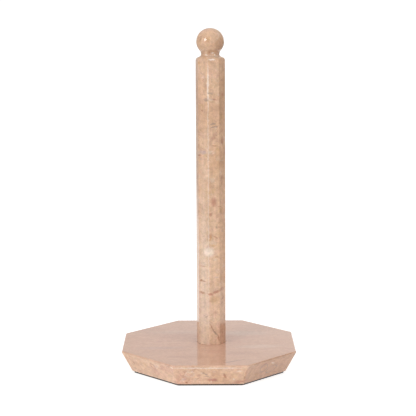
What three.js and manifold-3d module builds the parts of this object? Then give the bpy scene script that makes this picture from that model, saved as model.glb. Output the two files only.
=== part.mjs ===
// A free-standing paper towel holder in polished stone, in millimetres, +Z up.
// An octagonal slab, whose sides slope in towards its foot, carries an octagonal post, and a turned ball
// finial stands on the post. A bolt in a counterbore under the slab clamps the post through a threaded
// insert that is bonded into the post's foot. The finial is pinned and bonded. A thin rubber pad covers
// the underside. The origin is the centre of the pad's lower face, and the slab's flats face +X, -X, +Y, -Y.
// The stone is sawn by hand: the slab's sides are a little out of place, and so is the post.
import * as THREE from "three";
import { mergeVertices } from "three/addons/utils/BufferGeometryUtils.js";
import Module from "manifold-3d";

const wasm = await Module();
wasm.setup();

// ---- Driving dimensions -------------------------------------------------------------------------------
const GAP = 0.3; // between faces that rest on each other

const SLAB_FLATS = 161; // across the flats of the top face, before its edge is eased
const SLAB_FOOT_FLATS = 140.4; // the same at the underside
const SLAB_THICKNESS = 20;
const SLAB_TOP_EASING = 1;
const SLAB_FOOT_EASING = 1.8;
// How far outside its true place each side was sawn, from the side facing +X round towards +Y.
const SLAB_SIDE_ERRORS = [0, 0.7, 0.3, -1.3, 0, -0.4, 0.3, 1.3];

const PAD_FLATS = 137.4;
const PAD_THICKNESS = 1.5;
const PAD_HOLE_RADIUS = 15;

const POST_FLATS = 25.3;
const POST_TWIST = THREE.MathUtils.degToRad(12.7); // the post was tightened a little out of line
const POST_OFFSET = 2.3; // the bolt's hole was drilled this far from the slab's middle, towards +X
const POST_FOOT_EASING = 0.8;

const BALL_CENTRE_ABOVE_SLAB = 280.15;
const BALL_RADIUS = 12.75;
const BALL_RISE = 12; // the ball's crown is a little flattened
const NECK_RADIUS = 8.4;
const COVE_RADIUS = 4.5; // hollow of the neck, under the ball
const FLARE_RADIUS = 2.2; // below the neck, where the finial widens towards its seat
const FLARE_TURN = Math.PI / 4;
const SHOULDER_BELOW_BALL = 17.4; // from the ball's centre down to where the post's arrises start
const SHOULDER_RADIUS = 3.2;
const SHOULDER_SLOPE = THREE.MathUtils.degToRad(26); // of the turned cone above the rounding

const COUNTERBORE = { radius: 14, depth: 12 };
const BOLT = { radius: 3.9, length: 35, headFlats: 13, headHeight: 5.3, holeRadius: 5 };
const FIBRE_WASHER = { inner: 4.4, outer: 12, thickness: 1.5 };
const FLAT_WASHER = { inner: 4.2, outer: 12, thickness: 2 };
const SPRING_WASHER = { inner: 4.1, outer: 7.4, thickness: 2, slot: 1.2, slotTilt: 0.35 };

const INSERT = { radius: 6, bore: 4.2, boreDepth: 26, length: 30, grooves: 4, grooveDepth: 0.7 };
const INSERT_HOLE = { radius: 7, depth: 34 };
const PIN = { radius: 3, length: 23.6 };
const PIN_HOLE = { radius: 4, depth: 12 };
const BOND_CLEARANCE = 0.15; // between cured epoxy and what it holds

const OCTAGON = 8;
const TURNED_SEGMENTS = 48;
const HARDWARE_SEGMENTS = 32;

// The cove under the ball is an arc that touches the ball and is as narrow as the neck. Its centre is
// given relative to the ball's.
const COVE_R = NECK_RADIUS + COVE_RADIUS;
const COVE_Z = -Math.sqrt((BALL_RADIUS + COVE_RADIUS) ** 2 - COVE_R ** 2);
const SEAT_RADIUS = NECK_RADIUS + FLARE_RADIUS * (1 - Math.cos(FLARE_TURN));
const SEAT_BELOW_BALL = FLARE_RADIUS * Math.sin(FLARE_TURN) - COVE_Z;

// ---- Heights, worked out from the driving dimensions --------------------------------------------------
const SLAB_Z = PAD_THICKNESS + GAP / 2;
const SLAB_TOP_Z = SLAB_Z + SLAB_THICKNESS;
const CEILING_Z = SLAB_Z + COUNTERBORE.depth;
const POST_Z = SLAB_TOP_Z + GAP;
const BALL_Z = SLAB_TOP_Z + BALL_CENTRE_ABOVE_SLAB;
const POST_LENGTH = BALL_Z - SEAT_BELOW_BALL - GAP / 2 - POST_Z;
const PIN_Z = BALL_Z - SEAT_BELOW_BALL;

// ---- Geometry helpers ---------------------------------------------------------------------------------
const point = (r, z) => new THREE.Vector2(r, z);

function solidOf(geometry) {
  const bare = geometry.index ? geometry.toNonIndexed() : geometry.clone();
  bare.deleteAttribute("normal");
  bare.deleteAttribute("uv");
  const merged = mergeVertices(bare, 1e-4);
  const vertProperties = merged.attributes.position.array;
  const triVerts = new Uint32Array(merged.index.array);
  return new wasm.Manifold(new wasm.Mesh({ numProp: 3, vertProperties, triVerts }));
}

function geometryOf(solid) {
  const mesh = solid.getMesh();
  const geometry = new THREE.BufferGeometry();
  geometry.setAttribute("position", new THREE.BufferAttribute(mesh.vertProperties, 3));
  geometry.setIndex(new THREE.BufferAttribute(mesh.triVerts, 1));
  return geometry;
}

// An arc about centre, as steps + 1 points from one angle to another.
function arc(centre, radius, from, to, steps) {
  return Array.from({ length: steps + 1 }, (_, k) => {
    const angle = from + ((to - from) * k) / steps;
    return point(centre.x + radius * Math.cos(angle), centre.y + radius * Math.sin(angle));
  });
}

// A profile through corners [radius, height, easing], with an arc of radius easing at each eased corner.
function eased(corners, steps = 4) {
  return corners.flatMap(([r, z, easing], i) => {
    const corner = point(r, z);
    if (!easing) return [corner];
    const towards = ([x, y]) => point(x, y).sub(corner).normalize();
    const before = towards(corners[i - 1]);
    const after = towards(corners[i + 1]);
    const half = Math.acos(before.dot(after)) / 2;
    const middle = before.clone().add(after).normalize();
    const centre = corner.clone().addScaledVector(middle, easing / Math.sin(half));
    const start = corner.clone().addScaledVector(before, easing / Math.tan(half)).sub(centre).angle();
    const turn = Math.sign(after.cross(before)) * (Math.PI - 2 * half);
    return arc(centre, easing, start, start + turn, steps);
  });
}

// A profile of [radius, height] points, from the bottom up, turned about +Z.
function turned(points, segments = TURNED_SEGMENTS) {
  return new THREE.LatheGeometry(points, segments).rotateX(Math.PI / 2);
}

// The same, but eight-sided, with the profile's radii measured to the flats.
function octagonal(points) {
  const corners = points.map((p) => point(p.x / Math.cos(Math.PI / OCTAGON), p.y));
  return new THREE.LatheGeometry(corners, OCTAGON, Math.PI / OCTAGON).rotateX(Math.PI / 2);
}

// An octagonal solid with each of its sides moved out by its error, so that its corners shift with them.
function sawn(geometry) {
  const turn = (2 * Math.PI) / OCTAGON;
  const normal = (side) => point(Math.cos(side * turn), Math.sin(side * turn));
  const position = geometry.attributes.position;
  for (let i = 0; i < position.count; i += 1) {
    const corner = point(position.getX(i), position.getY(i));
    if (corner.length() < 1e-3) continue;
    const side = Math.floor(corner.angle() / turn) % OCTAGON;
    const next = (side + 1) % OCTAGON;
    const along = normal(side).addScaledVector(normal(next), -Math.cos(turn));
    const alongNext = normal(next).addScaledVector(normal(side), -Math.cos(turn));
    corner.addScaledVector(along, SLAB_SIDE_ERRORS[side] / Math.sin(turn) ** 2);
    corner.addScaledVector(alongNext, SLAB_SIDE_ERRORS[next] / Math.sin(turn) ** 2);
    position.setXY(i, corner.x, corner.y);
  }
  return geometry;
}

function rod(radius, bottom, top, segments = TURNED_SEGMENTS) {
  return turned([point(0, bottom), point(radius, bottom), point(radius, top), point(0, top)], segments);
}

// A washer or a sleeve: a ring of rectangular section, whose outer edges can be eased.
function ring(inner, outer, bottom, top, easing = 0) {
  const corners = [
    [inner, bottom],
    [outer, bottom, easing],
    [outer, top, easing],
    [inner, top],
    [inner, bottom],
  ];
  return turned(eased(corners, 2), HARDWARE_SEGMENTS);
}

function bored(geometry, ...holes) {
  return geometryOf(holes.reduce((solid, hole) => solid.subtract(solidOf(hole)), solidOf(geometry)));
}

// ---- Sub-parts ----------------------------------------------------------------------------------------
function slab() {
  const outline = eased([
    [0, 0],
    [SLAB_FOOT_FLATS / 2, 0, SLAB_FOOT_EASING],
    [SLAB_FLATS / 2, SLAB_THICKNESS, SLAB_TOP_EASING],
    [0, SLAB_THICKNESS],
  ]);
  const boltHole = rod(BOLT.holeRadius, -1, SLAB_THICKNESS + 1).translate(POST_OFFSET, 0, 0);
  const counterbore = rod(COUNTERBORE.radius, -1, COUNTERBORE.depth).translate(POST_OFFSET, 0, 0);
  return bored(sawn(octagonal(outline)), boltHole, counterbore);
}

function pad() {
  const half = PAD_FLATS / 2;
  const outline = [point(0, 0), point(half, 0), point(half, PAD_THICKNESS), point(0, PAD_THICKNESS)];
  const hole = rod(PAD_HOLE_RADIUS, -1, PAD_THICKNESS + 1).translate(POST_OFFSET, 0, 0);
  return bored(sawn(octagonal(outline)), hole);
}

// The turned shoulder: a shallow cone from the seat, rounded into the post's corners. It rises beside the
// bar as a sleeve that is wider than the bar, so that it cuts nothing below the shoulder.
function shoulder(corner) {
  const wide = corner + 1;
  const start = POST_LENGTH - (SHOULDER_BELOW_BALL - SEAT_BELOW_BALL);
  const centre = point(corner - SHOULDER_RADIUS, start);
  return turned([
    point(0, -1),
    point(wide, -1),
    point(wide, start),
    ...arc(centre, SHOULDER_RADIUS, 0, Math.PI / 2 - SHOULDER_SLOPE, 8),
    point(SEAT_RADIUS, POST_LENGTH),
    point(0, POST_LENGTH),
  ]);
}

function post() {
  const corner = POST_FLATS / 2 / Math.cos(Math.PI / OCTAGON);
  const bar = octagonal(
    eased([
      [0, 0],
      [POST_FLATS / 2, 0, POST_FOOT_EASING],
      [POST_FLATS / 2, POST_LENGTH + 1],
      [0, POST_LENGTH + 1],
    ]),
  );
  const shaped = geometryOf(solidOf(bar).intersect(solidOf(shoulder(corner))));
  const insertHole = rod(INSERT_HOLE.radius, -1, INSERT_HOLE.depth);
  const pinHole = rod(PIN_HOLE.radius, POST_LENGTH - PIN_HOLE.depth, POST_LENGTH + 1);
  return bored(shaped, insertHole, pinHole);
}

// Flare, neck, cove and ball in one turned profile about the ball's centre, with a blind hole for the pin.
function finial() {
  const seat = -SEAT_BELOW_BALL;
  const coveTop = Math.PI - Math.atan2(-COVE_Z, COVE_R);
  const ballFoot = coveTop - Math.PI;
  const crown = arc(point(0, 0), 1, 0, Math.PI / 2, 10).slice(1, -1);
  const flareCentre = point(NECK_RADIUS + FLARE_RADIUS, COVE_Z);
  const profile = [
    point(0, seat + GAP / 2),
    point(SEAT_RADIUS, seat + GAP / 2),
    ...arc(flareCentre, FLARE_RADIUS, Math.PI + FLARE_TURN, Math.PI, 5).slice(1),
    ...arc(point(COVE_R, COVE_Z), COVE_RADIUS, Math.PI, coveTop, 5).slice(1),
    ...arc(point(0, 0), BALL_RADIUS, ballFoot, 0, 7).slice(1),
    ...crown.map((p) => point(BALL_RADIUS * p.x, BALL_RISE * p.y)),
    point(0, BALL_RISE),
  ];
  return bored(turned(profile), rod(PIN_HOLE.radius, seat - 1, seat + PIN_HOLE.depth));
}

function pin() {
  const half = PIN.length / 2;
  const corners = [
    [0, -half],
    [PIN.radius, -half, 0.5],
    [PIN.radius, half, 0.5],
    [0, half],
  ];
  return turned(eased(corners, 2), HARDWARE_SEGMENTS);
}

// A blind sleeve with grooves round its outside, which the epoxy grips.
function insert() {
  const { radius, bore, boreDepth, length, grooves, grooveDepth } = INSERT;
  const pitch = length / (grooves + 1);
  const grooved = Array.from({ length: grooves }, (_, k) => (k + 1) * pitch).flatMap((z) => [
    point(radius, z - 1),
    point(radius - grooveDepth, z - 0.6),
    point(radius - grooveDepth, z + 0.6),
    point(radius, z + 1),
  ]);
  const profile = [point(bore, 0), point(radius, 0), ...grooved, point(radius, length), point(0, length)];
  return turned([...profile, point(0, boreDepth), point(bore, boreDepth), point(bore, 0)], HARDWARE_SEGMENTS);
}

// A hexagonal head below z = 0, its outer corners turned off, on a plain shank.
function bolt() {
  const { radius, length, headFlats, headHeight } = BOLT;
  const corner = headFlats / 2 / Math.cos(Math.PI / 6);
  const blank = new THREE.CylinderGeometry(corner, corner, headHeight, 6).rotateX(Math.PI / 2);
  blank.translate(0, 0, -headHeight / 2);
  const cornersOff = turned([
    point(0, -headHeight - 0.01),
    point(headFlats / 2 - 0.3, -headHeight - 0.01),
    point(corner + 0.1, 0.8 - headHeight),
    point(corner + 0.1, 1),
    point(0, 1),
  ]);
  const shankCorners = [
    [0, -1],
    [radius, -1],
    [radius, length, 0.8],
    [0, length],
  ];
  const head = solidOf(blank).intersect(solidOf(cornersOff));
  return geometryOf(head.add(solidOf(turned(eased(shankCorners, 2), HARDWARE_SEGMENTS))));
}

function springWasher() {
  const { inner, outer, thickness, slot, slotTilt } = SPRING_WASHER;
  const cutter = new THREE.BoxGeometry(slot, outer, 4 * thickness);
  cutter.rotateY(slotTilt).translate(0, outer, thickness / 2);
  return bored(ring(inner, outer, 0, thickness, 0.2), cutter);
}

// ---- Materials ----------------------------------------------------------------------------------------
const finish = (color, roughness, metalness = 0) =>
  new THREE.MeshStandardMaterial({ color, roughness, metalness });

const polishedStone = finish(0xd8b295, 0.12);
const steel = finish(0xb9bbbd, 0.35, 1);
const brass = finish(0xc9a75a, 0.35, 1);
const fibre = finish(0x8c3a2a, 0.75);
const epoxy = finish(0xc9b58a, 0.3);
const rubber = finish(0x2b2a29, 0.9);

// ---- Assembly -----------------------------------------------------------------------------------------
function place(parent, name, geometry, material, z) {
  const mesh = new THREE.Mesh(geometry, material);
  mesh.name = name;
  mesh.position.z = z;
  parent.add(mesh);
}

const holder = new THREE.Group();
place(holder, "anti_slip_pad", pad(), rubber, 0);
place(holder, "base_slab", slab(), polishedStone, SLAB_Z);

// All the rest stands on the bolt's axis.
const column = new THREE.Group();
column.position.x = POST_OFFSET;
holder.add(column);

// The washers hang under the counterbore's ceiling, one below the other, and the bolt's head comes last.
const stackGap = GAP / 3;
const fibreZ = CEILING_Z - stackGap - FIBRE_WASHER.thickness;
const flatZ = fibreZ - stackGap - FLAT_WASHER.thickness;
const springZ = flatZ - stackGap - SPRING_WASHER.thickness;
const fibreRing = ring(FIBRE_WASHER.inner, FIBRE_WASHER.outer, 0, FIBRE_WASHER.thickness);
const flatRing = ring(FLAT_WASHER.inner, FLAT_WASHER.outer, 0, FLAT_WASHER.thickness, 0.3);
place(column, "fibre_washer", fibreRing, fibre, fibreZ);
place(column, "flat_washer", flatRing, steel, flatZ);
place(column, "spring_washer", springWasher(), steel, springZ);
place(column, "clamp_bolt", bolt(), steel, springZ - stackGap);

// The post and all that is fixed in it are turned together by the post's twist.
const twisted = new THREE.Group();
twisted.rotation.z = POST_TWIST;
column.add(twisted);
const bond = (inner, outer, bottom, top) => ring(inner + BOND_CLEARANCE, outer - BOND_CLEARANCE, bottom, top);
const insertBond = bond(INSERT.radius, INSERT_HOLE.radius, 0, INSERT.length);
const pinBond = bond(PIN.radius, PIN_HOLE.radius, 1 - PIN_HOLE.depth, PIN_HOLE.depth - 1);
place(twisted, "post_shaft", post(), polishedStone, POST_Z);
place(twisted, "threaded_insert", insert(), brass, POST_Z);
place(twisted, "insert_epoxy", insertBond, epoxy, POST_Z);
place(twisted, "ball_finial", finial(), polishedStone, BALL_Z);
place(twisted, "finial_pin", pin(), steel, PIN_Z);
place(twisted, "finial_epoxy", pinBond, epoxy, PIN_Z);

export default holder;
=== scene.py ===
"""A polished stone paper towel holder: octagonal slab, octagonal post and a turned ball finial, with the
bolt, washers, insert, pin and pad that hold it together. Metres, in the CAD model's own frame."""

import math
import random

import bmesh
import bpy
from mathutils import Matrix, Vector


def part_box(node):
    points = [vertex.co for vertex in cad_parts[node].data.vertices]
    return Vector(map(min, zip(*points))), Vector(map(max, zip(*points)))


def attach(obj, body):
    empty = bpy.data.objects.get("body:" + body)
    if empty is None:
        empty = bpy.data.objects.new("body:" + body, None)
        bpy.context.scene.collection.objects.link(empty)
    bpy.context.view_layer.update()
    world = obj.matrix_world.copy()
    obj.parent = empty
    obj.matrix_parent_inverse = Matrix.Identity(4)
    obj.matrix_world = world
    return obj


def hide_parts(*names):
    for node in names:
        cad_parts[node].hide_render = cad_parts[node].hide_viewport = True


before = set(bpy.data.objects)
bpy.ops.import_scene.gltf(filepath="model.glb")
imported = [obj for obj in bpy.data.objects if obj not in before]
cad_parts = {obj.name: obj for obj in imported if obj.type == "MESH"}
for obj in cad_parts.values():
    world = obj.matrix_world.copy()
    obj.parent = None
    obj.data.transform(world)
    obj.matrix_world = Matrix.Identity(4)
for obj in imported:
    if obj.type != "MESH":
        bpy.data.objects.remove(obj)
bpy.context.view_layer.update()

MM = 0.001

# ---- Sizes --------------------------------------------------------------------------------------------
POST_AXIS = Vector((2.3 * MM, 0, 0))
POST_TWIST = math.radians(12.7)
POST_HALF_FLATS = 12.65 * MM
POST_ARRIS_RADIUS = 0.6 * MM
POST_FOOT_EASING = 0.3 * MM
POST_SOFTNESS = 0.2 * MM  # over which the turned shoulder runs into the flats
OCTAGON = 8

# The slab's half width across flats at its top and foot, and how far outside its true place each side
# was sawn, from the side facing +X round towards +Y.
SLAB_HALF_FLATS = 80.4 * MM
SLAB_FOOT_HALF_FLATS = 70.2 * MM
SLAB_SIDE_ERRORS = (0, 0.7, 0.3, -1.3, 0, -0.4, 0.3, 1.3)
SLAB_ARRIS_RADIUS = 0.9 * MM
SLAB_TOP_EASING = 0.9 * MM
SLAB_FOOT_EASING = 1.9 * MM
INNER_LOOP_RADIUS = 40 * MM  # a loop of edges between a flat face's outline and its hole
PAD_CORNER_RADIUS = 3 * MM
PAD_HOLE_RADIUS = 15 * MM
PAD_EASING = 0.35 * MM

BALL_RADIUS = 12.74 * MM
BALL_RISE = 12 * MM
NECK_RADIUS = 8.4 * MM
COVE_RADIUS = 4.5 * MM
FLARE_RADIUS = 2.2 * MM
FLARE_TURN = math.radians(45)
SHOULDER_BELOW_BALL = 17.4 * MM
SHOULDER_RADIUS = 3.2 * MM
SHOULDER_SLOPE = math.radians(26)

BOLT_HOLE_RADIUS = 5 * MM
COUNTERBORE_RADIUS = 14 * MM
COUNTERBORE_DEPTH = 12 * MM
INSERT_HOLE = (7 * MM, 34 * MM)  # radius and depth
PIN_HOLE = (4 * MM, 12 * MM)
BOLT_HALF_FLATS = 6.5 * MM
BOLT_HEAD_HEIGHT = 5.3 * MM
BOLT_CORNER_RADIUS = 0.2 * MM
INSERT_GROOVES = 4
INSERT_KNURLS = 30
TURNED_STEPS = 96

# ---- Looks --------------------------------------------------------------------------------------------
UPRIGHT = (420, 420, 22)  # how fine the stone's streaks are along each axis, in the post
LEVEL = (40, 200, 260)  # and in the slab
# The slab's marble is toned darker and the post's and finial's lighter: painted shade and painted light that
# make up for how the lamps fall on each.
SLAB_TONE = (0.825, 0.805, 0.81)
POST_TONE = (0.93, 0.905, 0.89)
MARK_FREE_HEIGHT = 180  # mm from the floor, where the post's two materials meet
WHOLE_POST_MARK = 100  # marks with more half height than this lie in both

CAMERA_LENS = 112.36
CAMERA_PITCH = math.radians(9.469)
CAMERA_ROLL = math.radians(0.237)
CAMERA_ASIDE = -0.00027
CAMERA_BACK = -1.1837
CAMERA_ABOVE_SLAB = 0.3246

BACKDROP_LOW_LEVEL = 1.08
BACKDROP_HIGH_LEVEL = 0.62
BACKDROP_RIGHT_GAIN = 1.45
CANOPY_LEVEL = 0.95
LEFT_LEVEL = 0.35
RIGHT_LEVEL = 0.12
FLOOR_GLOW = 0.68

slab_low, slab_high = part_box("base_slab")
pad_low, pad_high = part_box("anti_slip_pad")
post_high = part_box("post_shaft")[1]
ball_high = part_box("ball_finial")[1]
BALL_Z = ball_high.z - BALL_RISE
COVE_R = NECK_RADIUS + COVE_RADIUS
COVE_Z = -math.sqrt((BALL_RADIUS + COVE_RADIUS) ** 2 - COVE_R**2)
SEAT_RADIUS = NECK_RADIUS + FLARE_RADIUS * (1 - math.cos(FLARE_TURN))
SEAT_Z = post_high.z


# ---- Profiles and sections ----------------------------------------------------------------------------
def arc(centre, radius, start, end, steps):
    """Points (r, z) along an arc, both ends included."""
    angles = [start + (end - start) * k / steps for k in range(steps + 1)]
    return [(centre[0] + radius * math.cos(a), centre[1] + radius * math.sin(a)) for a in angles]


def eased(corners, steps=6):
    """Points (r, z) through corners (r, z) or (r, z, easing), the latter rounded to that radius."""
    points = []
    for i, corner in enumerate(corners):
        here = Vector(corner[:2])
        if len(corner) == 2:
            points.append(tuple(here))
            continue
        before = (Vector(corners[i - 1][:2]) - here).normalized()
        after = (Vector(corners[i + 1][:2]) - here).normalized()
        half = before.angle(after) / 2
        centre = here + (before + after).normalized() * corner[2] / math.sin(half)
        tangent = here + before * corner[2] / math.tan(half) - centre
        start = math.atan2(tangent.y, tangent.x)
        turn = math.copysign(math.pi - 2 * half, after.x * before.y - after.y * before.x)
        points += arc(centre, corner[2], start, start + turn, steps)
    return points


def polygon_radius(angle, sides, half_flats, corner_radius):
    """Distance from the axis to a regular polygon with eased corners and a flat at angle 0."""
    sector = 2 * math.pi / sides
    off_flat = abs((angle + sector / 2) % sector - sector / 2)
    off_corner = sector / 2 - off_flat
    centre = (half_flats - corner_radius) / math.cos(sector / 2)
    rise = corner_radius * math.sin(sector / 2)
    if off_corner >= math.atan2(rise, centre + corner_radius * math.cos(sector / 2)):
        return half_flats / math.cos(off_flat)
    return centre * math.cos(off_corner) + math.sqrt(corner_radius**2 - (centre * math.sin(off_corner)) ** 2)


def polygon_angles(sides, half_flats, corner_radius, across, round_corner=6):
    """Angles that fall on each eased corner's ends and arc, and across times along each flat."""
    sector = 2 * math.pi / sides
    centre = (half_flats - corner_radius) / math.cos(sector / 2)
    rise = corner_radius * math.sin(sector / 2)
    tangent = math.atan2(rise, centre + corner_radius * math.cos(sector / 2))
    flat_edge = sector / 2 - tangent
    angles = []
    for side in range(sides):
        flat, corner = side * sector, (side + 0.5) * sector
        angles += [flat + flat_edge * (2 * k / across - 1) for k in range(across + 1)]
        angles += [corner + tangent * (2 * k / round_corner - 1) for k in range(1, round_corner)]
    return angles


def round_angles(count):
    return [2 * math.pi * k / count for k in range(count)]


def soft_min(a, b, softness):
    """The smaller of the two, eased where they meet."""
    return min(a, b) - softness * math.log(1 + math.exp(-abs(a - b) / softness))


# ---- Meshes -------------------------------------------------------------------------------------------
def make_object(name, bm, twist=0.0, axis=POST_AXIS):
    bmesh.ops.recalc_face_normals(bm, faces=bm.faces)
    bmesh.ops.transform(bm, verts=bm.verts, matrix=Matrix.Translation(axis) @ Matrix.Rotation(twist, 4, "Z"))
    mesh = bpy.data.meshes.new(name)
    bm.to_mesh(mesh)
    bm.free()
    mesh.polygons.foreach_set("use_smooth", [True] * len(mesh.polygons))
    obj = bpy.data.objects.new(name, mesh)
    bpy.context.scene.collection.objects.link(obj)
    flat_normals = obj.modifiers.new("flat faces stay flat", "WEIGHTED_NORMAL")
    flat_normals.weight = 90
    return obj


def loft(name, rings, closed=False, **place):
    """A skin over rings of points. All have the same number of points but those of one, which are tips."""
    bm = bmesh.new()
    loops = [[bm.verts.new(point) for point in ring] for ring in rings]
    pairs = list(zip(loops, loops[1:]))
    if closed:
        pairs.append((loops[-1], loops[0]))
    for low, high in pairs:
        count = max(len(low), len(high))
        for i in range(count):
            j = (i + 1) % count
            if len(low) == 1:
                corners = [low[0], high[j], high[i]]
            elif len(high) == 1:
                corners = [low[i], low[j], high[0]]
            else:
                corners = [low[i], low[j], high[j], high[i]]
            bm.faces.new(corners)
    return make_object(name, bm, **place)


def polar_rings(angles, rows):
    """Rings from rows (z, radius), where radius is a number or a function of angle, and 0 gives a tip."""
    rings = []
    for z, radius in rows:
        if radius == 0:
            rings.append([(0, 0, z)])
            continue
        reach = radius if callable(radius) else lambda _, r=radius: r
        rings.append([(reach(a) * math.cos(a), reach(a) * math.sin(a), z) for a in angles])
    return rings


def turned(name, profile, **how):
    return loft(name, polar_rings(round_angles(TURNED_STEPS), [(z, r) for r, z in profile]), **how)


def sawn_ring(z, half_flats, corner_radius, across=8, round_corner=6):
    """The outline of an octagon whose sides stand out by their errors, with rounded corners."""
    turn = 2 * math.pi / OCTAGON
    normals = [Vector((math.cos(k * turn), math.sin(k * turn))) for k in range(OCTAGON)]
    reach = [half_flats + error * MM - corner_radius for error in SLAB_SIDE_ERRORS]
    cosine, sine = math.cos(turn), math.sin(turn)
    ring = []
    for k in range(OCTAGON):
        here, there = normals[k], normals[(k + 1) % OCTAGON]
        centre = (here - there * cosine) * reach[k] / sine**2
        centre += (there - here * cosine) * reach[(k + 1) % OCTAGON] / sine**2
        for step in range(round_corner + 1):
            angle = (k + step / round_corner) * turn
            ring.append(centre + Vector((math.cos(angle), math.sin(angle))) * corner_radius)
    full = []
    for i, point in enumerate(ring):
        full.append(point)
        if (i + 1) % (round_corner + 1) == 0:
            far = ring[(i + 1) % len(ring)]
            full += [point.lerp(far, step / across) for step in range(1, across)]
    return [(point.x, point.y, z) for point in full]


def round_ring(z, radius, around):
    """A ring about the post's axis, one point for each of around's, in line with it."""
    ring = []
    for x, y, _ in around:
        outward = (Vector((x, y, 0)) - POST_AXIS).normalized()
        ring.append(POST_AXIS + outward * radius + Vector((0, 0, z)))
    return ring


def slab():
    foot, top = pad_high.z, slab_high.z
    foot_edge = (SLAB_FOOT_HALF_FLATS, foot, SLAB_FOOT_EASING)
    top_edge = (SLAB_HALF_FLATS, top, SLAB_TOP_EASING)
    outline = eased([(0, foot), foot_edge, top_edge, (0, top)])
    rings = [sawn_ring(z, r, SLAB_ARRIS_RADIUS) for r, z in outline[1:-1]]
    ceiling = slab_low.z + COUNTERBORE_DEPTH
    rim = 0.5 * MM
    inside = [
        (top, INNER_LOOP_RADIUS),
        (top, 16 * MM),
        (top, BOLT_HOLE_RADIUS + rim),
        (top - rim, BOLT_HOLE_RADIUS),
        (ceiling, BOLT_HOLE_RADIUS),
        (ceiling, COUNTERBORE_RADIUS - 1 * MM),
        (ceiling - 0.3 * MM, COUNTERBORE_RADIUS - 0.3 * MM),
        (ceiling - 1 * MM, COUNTERBORE_RADIUS),
        (foot + rim, COUNTERBORE_RADIUS),
        (foot, COUNTERBORE_RADIUS + rim),
        (foot, INNER_LOOP_RADIUS),
    ]
    rings += [round_ring(z, r, rings[0]) for z, r in inside]
    return loft("slab", rings, closed=True, axis=Vector())


def pad():
    bottom, top = pad_low.z, pad_high.z
    half_flats, rim = pad_high.x, 0.2 * MM
    edges = [(half_flats, bottom, PAD_EASING), (half_flats, top, PAD_EASING)]
    outline = eased([(0, bottom), *edges, (0, top)], 3)
    rings = [sawn_ring(z, r, PAD_CORNER_RADIUS) for r, z in outline[1:-1]]
    inside = [(top, INNER_LOOP_RADIUS), (top, PAD_HOLE_RADIUS + rim), (top - rim, PAD_HOLE_RADIUS)]
    inside += [(bottom + rim, PAD_HOLE_RADIUS), (bottom, PAD_HOLE_RADIUS + rim), (bottom, INNER_LOOP_RADIUS)]
    rings += [round_ring(z, r, rings[0]) for z, r in inside]
    return loft("grip_pad", rings, closed=True, axis=Vector())


def post():
    foot, top = slab_high.z, SEAT_Z
    corner = POST_HALF_FLATS / math.cos(math.pi / OCTAGON)
    start = BALL_Z - SHOULDER_BELOW_BALL

    def section(half_flats, limit):
        def reach(angle):
            radius = polygon_radius(angle, OCTAGON, half_flats, POST_ARRIS_RADIUS)
            return soft_min(radius, limit, POST_SOFTNESS)

        return reach

    foot_corner = (POST_HALF_FLATS, foot, POST_FOOT_EASING)
    foot_edge = eased([(0, foot), foot_corner, (POST_HALF_FLATS, top)], 5)[1:-1]
    rows = [(foot + INSERT_HOLE[1], 0), (foot + INSERT_HOLE[1], INSERT_HOLE[0]), (foot, INSERT_HOLE[0])]
    rows += [(z, section(r, corner + 1 * MM)) for r, z in foot_edge]
    straight = 24
    rows += [
        (foot + (start - foot) * k / straight, section(POST_HALF_FLATS, corner + 0.1 * MM))
        for k in range(1, straight)
    ]
    centre = (corner - SHOULDER_RADIUS, start)
    rounding = arc(centre, SHOULDER_RADIUS, 0, math.pi / 2 - SHOULDER_SLOPE, 28)
    (cone_r, cone_z) = rounding[-1]
    cone = [(cone_r + (SEAT_RADIUS - cone_r) * k / 8, cone_z + (top - cone_z) * k / 8) for k in range(1, 9)]
    rows += [(z, section(POST_HALF_FLATS, r + 0.05 * MM)) for r, z in rounding + cone]
    rows += [(top, PIN_HOLE[0]), (top - PIN_HOLE[1], PIN_HOLE[0]), (top - PIN_HOLE[1], 0)]
    angles = polygon_angles(OCTAGON, POST_HALF_FLATS, POST_ARRIS_RADIUS, across=18)
    return loft("post", polar_rings(angles, rows), twist=POST_TWIST)


def finial():
    cove_top = math.pi - math.atan2(-COVE_Z, COVE_R)
    hole_top = SEAT_Z - BALL_Z + PIN_HOLE[1]
    profile = [(0, hole_top), (PIN_HOLE[0], hole_top), (PIN_HOLE[0], SEAT_Z - BALL_Z)]
    profile += [(SEAT_RADIUS, SEAT_Z - BALL_Z)]
    profile += arc((NECK_RADIUS + FLARE_RADIUS, COVE_Z), FLARE_RADIUS, math.pi + FLARE_TURN, math.pi, 8)
    profile += arc((COVE_R, COVE_Z), COVE_RADIUS, math.pi, cove_top, 10)[1:]
    profile += arc((0, 0), BALL_RADIUS, cove_top - math.pi, 0, 20)[1:]
    crown = arc((0, 0), 1, 0, math.pi / 2, 26)[1:-1]
    profile += [(BALL_RADIUS * r, BALL_RISE * z) for r, z in crown] + [(0, BALL_RISE)]
    return turned("finial", [(r, z + BALL_Z) for r, z in profile], twist=POST_TWIST)


def thread_rows(bottom, top, major, minor, pitch, per_pitch=10):
    """Rows of a screw thread. It fades out at both ends, where the rod is chamfered down to its root."""
    chamfer = 0.8 * MM

    def reach(z):
        end = min(z - bottom, top - z)
        limit = minor - 0.1 * MM + max(0.0, end) * (major - minor) / chamfer

        def at(angle):
            phase = (z / pitch - angle / (2 * math.pi)) % 1
            height = min(1.0, max(0.0, 1.25 - abs(phase - 0.5) * 3.2))
            return min(minor + (major - minor) * height, max(limit, minor - 0.1 * MM))

        return at

    steps = round((top - bottom) / pitch * per_pitch)
    levels = [bottom + (top - bottom) * k / steps for k in range(steps + 1)]
    return [(z, reach(z)) for z in levels]


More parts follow.
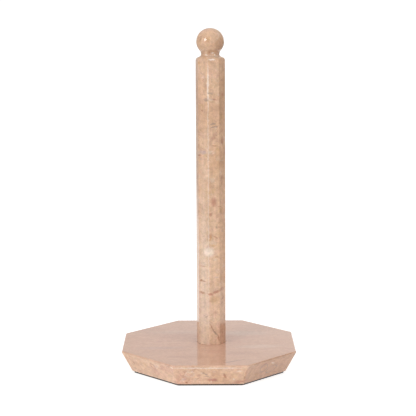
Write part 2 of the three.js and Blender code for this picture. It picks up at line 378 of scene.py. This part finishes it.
def bolt():
    low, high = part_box("clamp_bolt")
    corner = BOLT_HALF_FLATS / math.cos(math.pi / 6)
    top = low.z + BOLT_HEAD_HEIGHT

    def hexagon(limit):
        def reach(angle):
            return soft_min(polygon_radius(angle, 6, BOLT_HALF_FLATS, BOLT_CORNER_RADIUS), limit, 0.05 * MM)

        return reach

    rows = [(low.z + 0.25 * MM, 0), (low.z + 0.25 * MM, 3.6 * MM), (low.z, 4.2 * MM)]
    rows += [(low.z + 0.9 * MM * k / 8, hexagon(5.9 * MM + (corner - 5.7 * MM) * k / 8)) for k in range(9)]
    rows += [(top - 0.3 * MM, hexagon(corner + 0.2 * MM)), (top - 0.25 * MM, 6.2 * MM), (top, 6.1 * MM)]
    rows += [(top, 4.1 * MM), (top + 0.4 * MM, 3.75 * MM), (top + 6 * MM, 3.75 * MM)]
    rows += thread_rows(top + 6.2 * MM, high.z, 3.9 * MM, 3.3 * MM, 1.25 * MM) + [(high.z, 0)]
    angles = polygon_angles(6, BOLT_HALF_FLATS, BOLT_CORNER_RADIUS, across=6, round_corner=2)
    return loft("hex_bolt", polar_rings(angles, rows))


def stud():
    low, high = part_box("finial_pin")
    rows = [(low.z, 0)] + thread_rows(low.z, high.z, 3.0 * MM, 2.5 * MM, 1.0 * MM) + [(high.z, 0)]
    return loft("threaded_pin", polar_rings(round_angles(36), rows), twist=POST_TWIST)


def insert():
    """A blind brass sleeve, knurled between its grooves, with a thread in its bore."""
    low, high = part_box("threaded_insert")
    length, radius = high.z - low.z, (high.x - low.x) / 2

    def knurled(depth):
        return lambda a: radius - depth * (0.5 - 0.5 * math.cos(INSERT_KNURLS * a))

    rows = [(low.z, 4.6 * MM), (low.z, 5.6 * MM), (low.z + 0.4 * MM, 5.9 * MM)]
    pitch = length / (INSERT_GROOVES + 1)
    for k in range(INSERT_GROOVES + 1):
        bottom, top = low.z + k * pitch + 1 * MM, low.z + (k + 1) * pitch - 1 * MM
        rows += [(bottom, 5.9 * MM), (bottom + 0.3 * MM, knurled(0.35 * MM))]
        rows += [(top - 0.3 * MM, knurled(0.35 * MM)), (top, 5.9 * MM)]
        if k < INSERT_GROOVES:
            rows += [(top + 0.4 * MM, 5.3 * MM), (top + 1.6 * MM, 5.3 * MM)]
    rows += [(high.z - 0.4 * MM, 5.9 * MM), (high.z, 5.5 * MM), (high.z, 0)]
    bore = thread_rows(low.z + 0.5 * MM, low.z + 26 * MM, 4.35 * MM, 4.0 * MM, 1.25 * MM, per_pitch=8)
    rows = [(low.z + 26 * MM, 0)] + bore[::-1] + rows
    return loft("brass_insert", polar_rings(round_angles(120), rows), twist=POST_TWIST)


def washer(name, node, inner, ease):
    low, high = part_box(node)
    outer, bottom, top = (high.x - low.x) / 2, low.z, high.z
    profile = eased(
        [
            (inner, (bottom + top) / 2),
            (inner, bottom, ease / 2),
            (outer, bottom, ease),
            (outer, top, ease),
            (inner, top, ease / 2),
            (inner, (bottom + top) / 2),
        ],
        3,
    )
    return turned(name, profile[:-1], closed=True)


def split_washer():
    """A spring washer: one turn of square wire that rises a little, cut through at a slant."""
    low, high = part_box("spring_washer")
    inner, outer, thick, rise = 4.1 * MM, (high.x - low.x) / 2 - 0.02 * MM, 1.75 * MM, 0.22 * MM
    ease = 0.2 * MM
    section = eased(
        [(inner, 0.5 * thick), (inner, 0, ease), (outer, 0, ease), (outer, thick, ease), (inner, thick, ease)]
        + [(inner, 0.5 * thick)],
        2,
    )[:-1]
    bm = bmesh.new()
    steps = 72
    gap = math.radians(11)
    slant = math.radians(7)
    rings = []
    for k in range(steps + 1):
        share = k / steps
        ring = []
        for r, z in section:
            angle = math.pi / 2 + gap / 2 + (2 * math.pi - gap) * share + slant * (z / thick - 0.5)
            ring.append(bm.verts.new((r * math.cos(angle), r * math.sin(angle), low.z + z + rise * share)))
        rings.append(ring)
    count = len(section)
    for here, there in zip(rings, rings[1:]):
        for i in range(count):
            j = (i + 1) % count
            bm.faces.new((here[i], here[j], there[j], there[i]))
    bm.faces.new(rings[0][::-1])
    bm.faces.new(rings[-1])
    return make_object("split_washer", bm)


# ---- Materials ----------------------------------------------------------------------------------------
class Nodes:
    """A node tree, filled one call at a time. Sockets and plain values are both taken as inputs."""

    def __init__(self, tree):
        self.tree = tree
        self.tree.nodes.clear()

    def node(self, kind, inputs=(), **settings):
        made = self.tree.nodes.new("ShaderNode" + kind)
        for key, value in settings.items():
            setattr(made, key, value)
        for key, value in dict(inputs).items():
            if isinstance(value, bpy.types.NodeSocket):
                self.tree.links.new(value, made.inputs[key])
            else:
                made.inputs[key].default_value = value
        return made

    def math(self, operation, a, b=0.0):
        return self.node("Math", {0: a, 1: b}, operation=operation).outputs[0]

    def vector(self, operation, a, b=(0, 0, 0), output=0):
        return self.node("VectorMath", {0: a, 1: b}, operation=operation).outputs[output]

    def spread(self, value, low, high, to_low=0.0, to_high=1.0):
        """value, taken smoothly from between low and high to between to_low and to_high."""
        inputs = {0: value, 1: low, 2: high, 3: to_low, 4: to_high}
        return self.node("MapRange", inputs, interpolation_type="SMOOTHSTEP").outputs[0]


class Graph(Nodes):
    """The nodes of one new material."""

    def __init__(self, name):
        self.material = bpy.data.materials.new(name)
        self.material.use_nodes = True
        super().__init__(self.material.node_tree)
        self.position = self.node("TexCoord").outputs["Object"]

    def noise(self, at, scale, detail=3.0, roughness=0.55, output="Fac"):
        inputs = {"Vector": at, "Scale": scale, "Detail": detail, "Roughness": roughness}
        return self.node("TexNoise", inputs).outputs[output]

    def mix(self, share, a, b, blend="MIX"):
        inputs = {0: share, 6: a, 7: b}
        return self.node("Mix", inputs, data_type="RGBA", blend_type=blend).outputs[2]

    def ramp(self, value, *stops):
        made = self.node("ValToRGB", {0: value})
        elements = made.color_ramp.elements
        while len(elements) < len(stops):
            elements.new(0.5)
        for element, (place, colour) in zip(elements, stops):
            element.position = place
            element.color = (*colour, 1)
        return made.outputs[0]

    def warped(self, at, scale, reach, detail=2.0):
        """at, pushed about by up to half of reach."""
        push = self.vector("SUBTRACT", self.noise(at, scale, detail, output="Color"), (0.5, 0.5, 0.5))
        return self.vector("ADD", at, self.vector("MULTIPLY", push, (reach, reach, reach)))

    def finish(self, colour, roughness, bump=None, bump_distance=0.0, **sockets):
        inputs = {"Base Color": colour, "Roughness": roughness}
        inputs.update({key.replace("_", " "): value for key, value in sockets.items()})
        if bump is not None:
            relief = self.node("Bump", {"Height": bump, "Distance": bump_distance, "Strength": 1.0})
            inputs["Normal"] = relief.outputs[0]
        shader = self.node("BsdfPrincipled", inputs)
        self.node("OutputMaterial", {"Surface": shader.outputs[0]})
        return self.material


def grey(value):
    return (value, value, value)


# Stone colours, linear. The umber is used only for painted shade, and the blush only for a painted sheen on
# the slab's top.
BEIGE = (0.6, 0.385, 0.255)
CREAM = (0.66, 0.45, 0.31)
SAND = (0.55, 0.345, 0.215)
ROSE = (0.59, 0.36, 0.26)
RUST = (0.33, 0.145, 0.085)
BRICK = (0.42, 0.2, 0.14)
OCHRE = (0.52, 0.33, 0.16)
ORANGE = (0.5, 0.27, 0.12)
MILK = (0.72, 0.6, 0.5)
FROST = (0.82, 0.71, 0.61)
LILAC = (0.5, 0.37, 0.34)
SLATE = (0.3, 0.22, 0.18)
SHEEN_BLUSH = (0.7, 0.43, 0.315)
SHADE_UMBER = (0.43, 0.25, 0.16)


def post_face(turn, reach=POST_HALF_FLATS):
    """Axes (across, into the stone, up) and middle of a post face, turned from the one that faces -Y."""
    angle = POST_TWIST + math.radians(turn)
    across = Vector((math.cos(angle), math.sin(angle), 0))
    outward = Vector((math.sin(angle), -math.cos(angle), 0))
    return across, -outward, Vector((0, 0, 1)), POST_AXIS + outward * reach


def slab_side(turn):
    """The same for a side of the slab, with heights measured from the floor."""
    angle = math.radians(turn)
    across = Vector((math.cos(angle), math.sin(angle), 0))
    outward = Vector((math.sin(angle), -math.cos(angle), 0))
    error = SLAB_SIDE_ERRORS[round(turn / 45 + 6) % 8] * MM
    lean = math.atan2(SLAB_HALF_FLATS - SLAB_FOOT_HALF_FLATS, slab_high.z - pad_high.z)
    up = Vector((0, 0, math.cos(lean))) + outward * math.sin(lean)
    inward = Vector((0, 0, math.sin(lean))) - outward * math.cos(lean)
    return across, inward, up, outward * (SLAB_FOOT_HALF_FLATS + error - pad_high.z * math.tan(lean))


def slab_top():
    return Vector((1, 0, 0)), Vector((0, 0, -1)), Vector((0, 1, 0)), Vector((0, 0, slab_high.z))


FACES = {
    "left": post_face(-45),
    "middle": post_face(0),
    "right": post_face(45),
    "neck": post_face(0, NECK_RADIUS),
    "top": slab_top(),
    "front": slab_side(0),
    "front left": slab_side(-45),
    "front right": slab_side(45),
}

FLECK_TINTS = (BRICK, RUST, LILAC, ORANGE, OCHRE, SLATE, MILK)
POST_FLECK_REACH = 4.2  # mm from the middle of a post face
SLAB_FLECK_REACH = 27
LOW_POST_FLECKS = (44, 172)  # mm from the floor, clear of the height where the materials meet
HIGH_POST_FLECKS = (188, 278)
SLAB_FLECKS = (4, 19)
POST_HALF_FACE = 5.2
WIDE_MARK = 30  # marks with more half width than this, in mm, are shallow, to keep off the next face


def flecks(seed, face, count, reach, low, high):
    """Small spots and dashes scattered over a face between two heights, the same on every run."""
    chance = random.Random(seed)
    rows = []
    for _ in range(count):
        across = chance.uniform(-reach, reach)
        up = chance.uniform(low, high)
        half_width = chance.uniform(0.8, 3.2)
        half_height = chance.uniform(0.5, 1.5)
        tilt = chance.uniform(-30, 30)
        tint = chance.choice(FLECK_TINTS)
        rows.append((face, across, up, half_width, half_height, tilt, tint, chance.uniform(0.35, 0.7), 0.8))
    return rows


# Marks in the stone, and painted highlights, light and shade laid on the same way: face, across and up in mm,
# half width and half height in mm, tilt in degrees, colour, strength, and softness of the edge from 0 to 1. A
# ring is only its outline.
POST_MARKS = [
    # Whole-face washes: painted light makes the left face, and a little the middle one, lighter low down, and
    # painted shade makes the right face darker at its foot.
    ("left", 0, 55, 5.6, 115, 0, MILK, 0.65, 1.0),
    ("middle", 0, 60, 5.6, 110, 0, MILK, 0.2, 1.0),
    ("right", 0, 35, 5.6, 30, 0, SHADE_UMBER, 0.25, 1.0),
    # Painted highlights along the edge between the left and middle faces, brightest near the top.
    ("left", POST_HALF_FACE, 150, 0.6, 150, 0, MILK, 0.6, 0.8),
    ("left", POST_HALF_FACE, 262, 0.8, 17, 0, FROST, 0.9, 0.8),
    # Painted light: a pale band that lifts the shade in the crease at the foot of the neck.
    ("neck", 0, 288, 7, 1.2, 0, MILK, 0.6, 1.0),
    # Painted highlight on the shoulder's rounded edge above the middle face.
    ("middle", -1.5, 286, 3.4, 0.7, -6, FROST, 1.0, 0.7),
    ("left", -4, 283, 1.3, 1.6, 0, ORANGE, 0.7, 0.8),
    ("middle", 0, 250, 4.2, 0.6, -4, BRICK, 0.75, 0.8),
    ("left", -1, 240, 0.9, 0.9, 0, RUST, 0.85, 0.8),
    ("middle", 0, 225, 4.2, 0.6, 12, SLATE, 0.75, 0.7),
    ("middle", 0, 215, 2.4, 1.4, 30, BRICK, 0.5, 0.9),
    ("right", 0, 212, 2.5, 3.5, 0, RUST, 0.6, 0.9),
    ("middle", 1, 208, 2.4, 0.6, -8, RUST, 0.6, 0.7),
    ("left", 0, 202, 4.5, 1.8, 0, LILAC, 0.75, 0.8),
    ("middle", -2, 202, 3.5, 1.6, 0, MILK, 0.6, 0.9),
    ("left", -4, 199, 2, 0.6, 0, RUST, 0.7, 0.7),
    ("middle", 0, 156, 2.6, 4, 8, BRICK, 0.75, 1.0),
    ("middle", -3, 145, 1.7, 1.7, 0, BRICK, 0.7, 0.9),
    ("middle", -3, 124, 1, 3.2, -10, ORANGE, 0.75, 0.9),
    ("middle", -4, 110, 4, 4.2, 0, FROST, 0.95, 0.9),
    ("left", 3, 110, 3, 3.6, 0, FROST, 0.85, 0.9),
    ("left", -1, 96, 4, 0.5, 0, BRICK, 0.5, 0.8),
    ("left", -1, 82, 4, 0.5, 0, RUST, 0.65, 0.7),
    ("left", -2, 71, 3.4, 1.3, -12, BRICK, 0.65, 0.9),
    ("middle", -3, 70, 2.8, 1.3, -10, BRICK, 0.8, 0.8),
    ("middle", 2, 72, 3.4, 1.3, 16, BRICK, 0.8, 0.8),
    ("right", -2, 74, 3.2, 1.8, 14, BRICK, 0.6, 0.9),
    ("middle", 0, 65, 4.6, 3, 6, OCHRE, 0.5, 0.9),
    ("middle", -2, 38, 0.6, 5, 28, RUST, 0.5, 0.7),
    ("middle", 1, 33, 0.8, 4, 38, SLATE, 0.75, 0.7),
    ("middle", 4, 28, 0.8, 4, 10, RUST, 0.6, 0.8),
]
for number, (face, count) in enumerate((("left", 5), ("middle", 6), ("right", 3))):
    POST_MARKS += flecks(10 + number, face, count, POST_FLECK_REACH, *LOW_POST_FLECKS)
    POST_MARKS += flecks(20 + number, face, count, POST_FLECK_REACH, *HIGH_POST_FLECKS)
FINIAL_MARKS = [
    # Painted light: a pale band that lifts the shade in the crease at the foot of the neck.
    ("neck", 0, 289, 7, 0.8, 0, MILK, 0.35, 1.0),
    # Painted shade: the ball darker on its right and lower right.
    ("middle", 4.5, 299, 3.4, 6.5, 24, SHADE_UMBER, 0.35, 1.0),
    ("right", 0, 296, 4.6, 7.5, 0, SHADE_UMBER, 0.45, 1.0),
    # Painted highlights: three bright spots in the cove under the ball.
    ("neck", -5.5, 290, 0.9, 0.9, 0, MILK, 1.0, 0.8),
    ("neck", 0.5, 291.5, 1.5, 0.7, 6, MILK, 1.0, 0.8),
    ("neck", 2.5, 290, 1.0, 0.6, -20, MILK, 0.9, 0.8),
    ("neck", -3, 292, 0.9, 0.8, 0, RUST, 0.6, 0.9),
]
SLAB_MARKS = [
    # Painted sheen: the whole top made lighter and pinker than the sides.
    ("top", 0, 0, 100, 100, 0, SHEEN_BLUSH, 0.7, 0.5),
    ("top", -44, -22, 24, 5, 4, LILAC, 0.3, 1.0),
    ("top", -20, -52, 20, 4, -3, ROSE, 0.35, 1.0),
    ("top", 46, -18, 20, 6, 6, MILK, 0.3, 1.0),
    ("top", -30, 34, 26, 7, 0, MILK, 0.2, 1.0),
    ("top", 34, 30, 24, 8, 0, MILK, 0.3, 1.0),
    ("top", 20, -68, 9, 0.9, 28, SLATE, 0.55, 0.7),
    ("top", 30, -62, 8, 0.8, 15, SLATE, 0.4, 0.8),
    ("top", 28, -40, 14, 5.5, 0, ROSE, 0.6, 1.0),
    # Painted shade: the front right side made darker.
    ("front right", 3, 11, 44, 17, 0, SHADE_UMBER, 0.7, 0.2),
    ("front right", -8, 20, 4, 1, 8, BRICK, 0.7, 0.8),
    # Painted highlights along the top edges of the front and front left sides, and a painted glint at the
    # front's left corner.
    ("front", 0, 21.4, 34, 0.8, 0, MILK, 0.8, 0.6),
    ("front left", 6, 21.8, 26, 0.8, 0, CREAM, 0.5, 0.6),
    ("front", -33, 21, 1.2, 0.9, 0, MILK, 1.0, 0.7),
    ("front", 3, 7, 4.6, 1.9, 0, BRICK, 0.95, 0.7),
    ("front", 14, 12, 1.2, 3.4, 16, RUST, 0.7, 0.8),
    ("front", 22, 8, 1.2, 1.2, 0, MILK, 0.8, 0.7),
    ("front", 27, 5, 6, 1.4, 12, BRICK, 0.7, 0.8),
    ("front", -20, 4, 1.5, 1, 0, RUST, 0.9, 0.8),
    ("front left", -22, 14, 1, 2, 10, RUST, 0.5, 0.9),
    ("front left", 16, 12, 4.4, 2.6, -35, CREAM, 0.8, 0.8),
]
for number, (face, count) in enumerate((("front", 10), ("front right", 5), ("front left", 5))):
    SLAB_MARKS += flecks(30 + number, face, count, SLAB_FLECK_REACH, *SLAB_FLECKS)
SLAB_RINGS = [
    ("front", -17, 14, 4, 3, 12, MILK, 0.35, 0.25),
    ("front right", -8, 15, 4.6, 4.2, -20, SLATE, 0.75, 0.25),
    ("front right", 4, 11, 6.6, 3.4, 16, SLATE, 0.65, 0.22),
    ("front left", 6, 12, 4.6, 3, 20, CREAM, 0.4, 0.25),
]


def marked(g, colour, near, marks, rings):
    """colour, with each placed mark laid over it."""
    for is_ring, table in ((False, marks), (True, rings)):
        for face, x, y, half_width, half_height, tilt, tint, strength, soft in table:
            across, inward, up, middle = FACES[face]
            axes = Matrix((across, inward, up)).transposed() @ Matrix.Rotation(-math.radians(tilt), 3, "Y")
            depth = 1.2 if half_width > WIDE_MARK else 4
            place = {
                "Vector": near,
                "Location": middle + across * x * MM + up * y * MM,
                "Rotation": axes.to_euler(),
                "Scale": (half_width * MM, depth * MM, half_height * MM),
            }
            local = g.node("Mapping", place, vector_type="TEXTURE").outputs[0]
            reach = g.vector("LENGTH", local, output="Value")
            if is_ring:
                reach = g.math("ABSOLUTE", g.math("SUBTRACT", reach, 1.0))
                share = g.spread(reach, 0.0, soft, strength, 0.0)
            else:
                share = g.spread(reach, 1.0 - 0.7 * soft, 1.0 + 0.5 * soft, strength, 0.0)
            colour = g.mix(share, colour, (*tint, 1))
    return colour


def marble(name, offset, grain, tone, marks=(), rings=(), polish=(0.06, 0.11), calm_above=1.0):
    """Polished limestone marble: clouded beige and rose, shelly mottling, curled threads and placed marks,
    some of them painted highlights and shade.
    grain stretches the fine streaks along the way the block was sawn. Above calm_above all is quieter."""
    g = Graph(name)
    at = g.vector("ADD", g.position, offset)
    height = g.node("SeparateXYZ", {0: g.position}).outputs[2]
    lively = g.spread(height, calm_above - 1.5 * MM, calm_above - 0.2 * MM, 1.0, 0.45)
    folded = g.warped(at, 55.0, 0.022, 3.0)
    clouds = g.noise(folded, 26.0, 4.0, 0.6)
    colour = g.ramp(clouds, (0.3, SAND), (0.43, BEIGE), (0.54, CREAM), (0.64, ROSE), (0.74, BEIGE))

    # Shell fragments: cells of their own tint, with ragged edges.
    ragged = g.warped(at, 260.0, 0.006, 2.0)
    cells = g.node("TexVoronoi", {"Vector": ragged, "Scale": 170.0, "Randomness": 1.0})
    inside = g.spread(cells.outputs["Distance"], 0.25, 0.55, 1.0, 0.0)
    pick = g.node("SeparateColor", {0: cells.outputs["Color"]})
    tints = g.ramp(pick.outputs[0], (0.0, BRICK), (0.18, ROSE), (0.4, CREAM), (0.7, MILK), (0.9, OCHRE))
    chosen = g.math("MULTIPLY", g.spread(pick.outputs[1], 0.58, 0.66, 0.0, 0.42), lively)
    colour = g.mix(g.math("MULTIPLY", inside, chosen), colour, tints)

    # Threads where two clouds meet, long rusty ones and small curled ones, which come and go.
    long_threads = (folded, 48.0, 0.011, 38.0, 0.5)
    curled_threads = (ragged, 120.0, 0.022, 70.0, 0.55)
    for source, scale, width, place, strength in (long_threads, curled_threads):
        seam = g.math("ABSOLUTE", g.math("SUBTRACT", g.noise(source, scale, 2.0, 0.5), 0.5))
        thread = g.spread(seam, 0.0, width, 1.0, 0.0)
        present = g.math("MULTIPLY", g.spread(g.noise(at, place, 1.0), 0.5, 0.6, 0.0, strength), lively)
        dye = g.ramp(g.noise(at, 90.0, 1.0), (0.44, RUST), (0.5, BRICK), (0.56, MILK))
        colour = g.mix(g.math("MULTIPLY", thread, present), colour, dye)

    near = g.warped(g.position, 420.0, 0.0022, 2.0)
    colour = marked(g, colour, near, marks, rings)

    # Small patches that lean to yellow or to pink.
    lean = g.ramp(g.noise(ragged, 300.0, 3.0, 0.6), (0.36, (1.02, 1.01, 0.94)), (0.64, (1.0, 0.96, 0.98)))
    colour = g.mix(lively, colour, g.mix(1.0, colour, lean, "MULTIPLY"))

    # Grain at three scales, all in brightness.
    streak = g.noise(g.vector("MULTIPLY", at, grain), 1.0, 3.0, 0.6)
    mottle = g.noise(ragged, 280.0, 4.0, 0.7)
    speckle = g.noise(at, 900.0, 2.0, 0.6)
    light = g.spread(streak, 0.3, 0.7, 0.94, 1.06)
    light = g.math("MULTIPLY", light, g.spread(mottle, 0.32, 0.68, 0.88, 1.12))
    light = g.math("MULTIPLY", light, g.spread(speckle, 0.3, 0.7, 0.95, 1.05))
    light = g.math("ADD", 1.0, g.math("MULTIPLY", g.math("SUBTRACT", light, 1.0), lively))
    levels = [g.math("MULTIPLY", light, part) for part in tone]
    colour = g.mix(1.0, colour, g.node("CombineXYZ", dict(enumerate(levels))).outputs[0], "MULTIPLY")

    roughness = g.spread(mottle, 0.3, 0.7, *polish)
    waves = g.noise(at, 60.0, 1.0)
    relief = g.math("ADD", g.math("MULTIPLY", waves, 0.4), g.math("MULTIPLY", mottle, 0.008))
    return g.finish(colour, roughness, relief, 0.00012, IOR=1.5)


def steel():
    g = Graph("zinc plated steel")
    bloom = g.noise(g.position, 700.0, 4.0, 0.7)
    scratch = g.noise(g.vector("MULTIPLY", g.position, (300, 300, 3500)), 1.0, 3.0, 0.6)
    colour = g.ramp(bloom, (0.3, (0.5, 0.51, 0.52)), (0.55, (0.66, 0.66, 0.65)), (0.75, (0.58, 0.6, 0.63)))
    roughness = g.spread(scratch, 0.3, 0.7, 0.24, 0.42)
    return g.finish(colour, roughness, scratch, 0.00002, Metallic=1.0)


def brass():
    g = Graph("turned brass")
    turning = g.noise(g.vector("MULTIPLY", g.position, (60, 60, 6000)), 1.0, 2.0, 0.5)
    stain = g.noise(g.position, 260.0, 4.0, 0.6)
    colour = g.ramp(stain, (0.3, (0.5, 0.33, 0.12)), (0.5, (0.72, 0.52, 0.22)), (0.75, (0.8, 0.62, 0.3)))
    return g.finish(colour, g.spread(turning, 0.3, 0.7, 0.2, 0.38), turning, 0.00002, Metallic=1.0)


def fibre():
    g = Graph("vulcanised fibre")
    flecks = g.noise(g.vector("MULTIPLY", g.position, (500, 1400, 1400)), 1.0, 4.0, 0.7)
    colour = g.ramp(flecks, (0.3, (0.13, 0.03, 0.018)), (0.5, (0.22, 0.05, 0.03)), (0.75, (0.3, 0.09, 0.05)))
    return g.finish(colour, g.spread(flecks, 0.3, 0.7, 0.6, 0.8), flecks, 0.00005)


def epoxy():
    g = Graph("cured epoxy")
    dust = g.noise(g.position, 900.0, 4.0, 0.6)
    colour = g.ramp(dust, (0.3, (0.42, 0.31, 0.16)), (0.6, (0.56, 0.45, 0.26)), (0.8, (0.68, 0.6, 0.42)))
    return g.finish(colour, g.spread(dust, 0.3, 0.7, 0.18, 0.4), dust, 0.00005, IOR=1.55)


def rubber():
    """Grip matting: a fine square weave pressed into dark rubber, with patches of dust."""
    g = Graph("grip rubber")
    pitch = 1.6 * MM
    turns = g.vector("MULTIPLY", g.position, grey(2 * math.pi / pitch))
    parts = g.node("SeparateXYZ", {0: turns})
    ribs = g.math("MULTIPLY", g.math("SINE", parts.outputs[0]), g.math("SINE", parts.outputs[1]))
    grain = g.noise(g.position, 1500.0, 3.0, 0.7)
    dust = g.noise(g.position, 90.0, 4.0, 0.6)
    # The rubber is near black, so the pad's edge under the slab also stands in for the contact shade there:
    # partly the rubber's own colour, partly painted shade.
    colour = g.ramp(dust, (0.3, grey(0.03)), (0.6, (0.045, 0.043, 0.04)), (0.8, (0.075, 0.07, 0.065)))
    height = g.math("ADD", g.math("MULTIPLY", ribs, 0.5), g.math("MULTIPLY", grain, 0.25))
    return g.finish(colour, g.spread(grain, 0.3, 0.7, 0.7, 0.9), height, 0.0003)


# ---- The object ---------------------------------------------------------------------------------------
def settle(obj, materials, slot, *nodes, change_at=0.0):
    """Give obj its materials and its place in the frame. The second material, if any, starts at change_at."""
    for material in materials:
        obj.data.materials.append(material)
    for face in obj.data.polygons:
        face.material_index = int(len(materials) > 1 and face.center.z > change_at)
    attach(obj, "root")
    if nodes:
        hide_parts(*nodes)


slab_marble = marble(
    "slab marble", (0.31, 0.12, 0.05), LEVEL, SLAB_TONE, SLAB_MARKS, SLAB_RINGS, calm_above=slab_high.z
)

# The post has two materials that differ only in their marks, as one with them all is too much to render.
post_marbles = []
for part, is_high in (("low", False), ("high", True)):
    marks = [m for m in POST_MARKS if (m[2] > MARK_FREE_HEIGHT) == is_high or m[4] > WHOLE_POST_MARK]
    post_marbles.append(marble("post marble " + part, (0.0, 0.4, 0.2), UPRIGHT, POST_TONE, marks))
finial_marble = marble(
    "finial marble", (0.7, 0.1, 0.33), UPRIGHT, POST_TONE, FINIAL_MARKS, polish=(0.02, 0.035)
)
settle(slab(), [slab_marble], "marble", "base_slab")
settle(post(), post_marbles, "marble", "post_shaft", change_at=MARK_FREE_HEIGHT * MM)
settle(finial(), [finial_marble], "marble", "ball_finial")
settle(pad(), [rubber()], "rubber", "anti_slip_pad")

zinc = steel()
settle(bolt(), [zinc], "steel", "clamp_bolt")
settle(stud(), [zinc], "steel", "finial_pin")
settle(split_washer(), [zinc], "steel", "spring_washer")
settle(washer("wide_washer", "flat_washer", 4.2 * MM, 0.3 * MM), [zinc], "steel", "flat_washer")
settle(washer("soft_washer", "fibre_washer", 4.4 * MM, 0.15 * MM), [fibre()], "fibre", "fibre_washer")
settle(insert(), [brass()], "brass", "threaded_insert")

resin = epoxy()
for node in ("insert_epoxy", "finial_epoxy"):
    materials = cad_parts[node].data.materials
    materials.clear()
    materials.append(resin)


# ---- Camera, floor and light --------------------------------------------------------------------------
def add_camera():
    data = bpy.data.cameras.new("camera")
    data.sensor_width = 36
    data.lens = CAMERA_LENS
    data.clip_start, data.clip_end = 0.05, 50
    camera = bpy.data.objects.new("camera", data)
    bpy.context.scene.collection.objects.link(camera)
    place = Matrix.Translation((CAMERA_ASIDE, CAMERA_BACK, slab_high.z + CAMERA_ABOVE_SLAB))
    turn = Matrix.Rotation(math.pi / 2 - CAMERA_PITCH, 4, "X") @ Matrix.Rotation(-CAMERA_ROLL, 4, "Z")
    camera.matrix_world = place @ turn
    bpy.context.scene.camera = camera


def add_floor():
    bm = bmesh.new()
    bmesh.ops.create_grid(bm, x_segments=40, y_segments=40, size=6)
    mesh = bpy.data.meshes.new("floor")
    bm.to_mesh(mesh)
    bm.free()
    floor = bpy.data.objects.new("floor", mesh)
    floor.location.z = pad_low.z - 0.05 * MM
    bpy.context.scene.collection.objects.link(floor)
    g = Graph("pale floor with glow pool")
    parts = g.node("SeparateXYZ", {0: g.position})
    # The floor glows in a pool around and behind the object. This painted light keeps the floor white there
    # and lights the slab from below. Elsewhere the floor is darker to the right, so less light bounces onto
    # the right-hand sides.
    widening = g.math("MULTIPLY", parts.outputs[1], 0.16)
    aside = g.math("SUBTRACT", g.math("ABSOLUTE", parts.outputs[0]), widening)
    glow_pool = g.math("MULTIPLY", g.spread(aside, 0.2, 0.34, 1.0, 0.0), g.spread(parts.outputs[1], -0.28, -0.165))
    dust = g.spread(g.noise(g.position, 3.0, 2.0), 0.3, 0.7, 0.0, 0.02)
    rightward = g.math("SUBTRACT", parts.outputs[0], widening)
    tone = g.math("ADD", dust, g.spread(rightward, 0.2, 0.6, 0.55, 0.25))
    colour = g.node("CombineXYZ", {0: tone, 1: tone, 2: tone}).outputs[0]
    glow = g.node("CombineXYZ", {0: glow_pool, 1: glow_pool, 2: glow_pool}).outputs[0]
    floor.data.materials.append(g.finish(colour, 0.9, Emission_Color=glow, Emission_Strength=FLOOR_GLOW))


def add_softbox(name, azimuth, elevation, distance, width, height, radiance):
    """A rectangular lamp aimed at the top of the post. Azimuth is from -Y towards +X."""
    a, e = math.radians(azimuth), math.radians(elevation)
    target = Vector((0, 0, BALL_Z))
    away = Vector((math.sin(a) * math.cos(e), -math.cos(a) * math.cos(e), math.sin(e)))
    data = bpy.data.lights.new(name, "AREA")
    data.shape = "RECTANGLE"
    data.size, data.size_y = width, height
    data.energy = radiance * math.pi * width * height
    lamp = bpy.data.objects.new(name, data)
    bpy.context.scene.collection.objects.link(lamp)
    lamp.location = target + away * distance
    lamp.rotation_euler = (-away).to_track_quat("-Z", "Y").to_euler()


def add_world():
    """A dim room with a white backdrop behind, a pale canopy overhead, and more light on the left."""
    world = bpy.data.worlds.new("studio")
    bpy.context.scene.world = world
    world.use_nodes = True
    g = Nodes(world.node_tree)
    direction = g.node("TexCoord").outputs["Generated"]

    def along(x, y, z):
        return g.vector("DOT_PRODUCT", direction, (x, y, z), output="Value")

    def between(share, a, b):
        return g.node("Mix", {0: share, 2: a, 3: b}).outputs[0]

    around = g.spread(along(0.966, 0.259, 0), 0.2, 0.75, LEFT_LEVEL, RIGHT_LEVEL)
    lit = between(g.spread(along(0, 0, 1), 0.2, 0.8), around, CANOPY_LEVEL)
    level = g.spread(along(0, 0, 1), 0.18, 0.34, BACKDROP_LOW_LEVEL, BACKDROP_HIGH_LEVEL)
    gain = g.spread(along(1, 0, 0), -0.05, 0.25, 1.0, BACKDROP_RIGHT_GAIN)
    backdrop = g.spread(along(0, 1, 0), 0.68, 0.9)
    strength = between(backdrop, lit, g.math("MULTIPLY", level, gain))
    background = g.node("Background", {"Color": (1, 1, 1, 1), "Strength": strength})
    g.node("OutputWorld", {"Surface": background.outputs[0]})


add_camera()
add_floor()
add_world()
add_softbox("left softbox", -42, 16, 1.5, 0.4, 0.58, 11)
add_softbox("left panel", -65, 5, 1.3, 0.4, 1.0, 0.9)
add_softbox("front panel", 22, 8, 1.7, 1.8, 1.5, 0.88)
add_softbox("right softbox", 58, 17, 1.5, 0.24, 0.28, 20)
bpy.context.scene.view_settings.view_transform = "Standard"
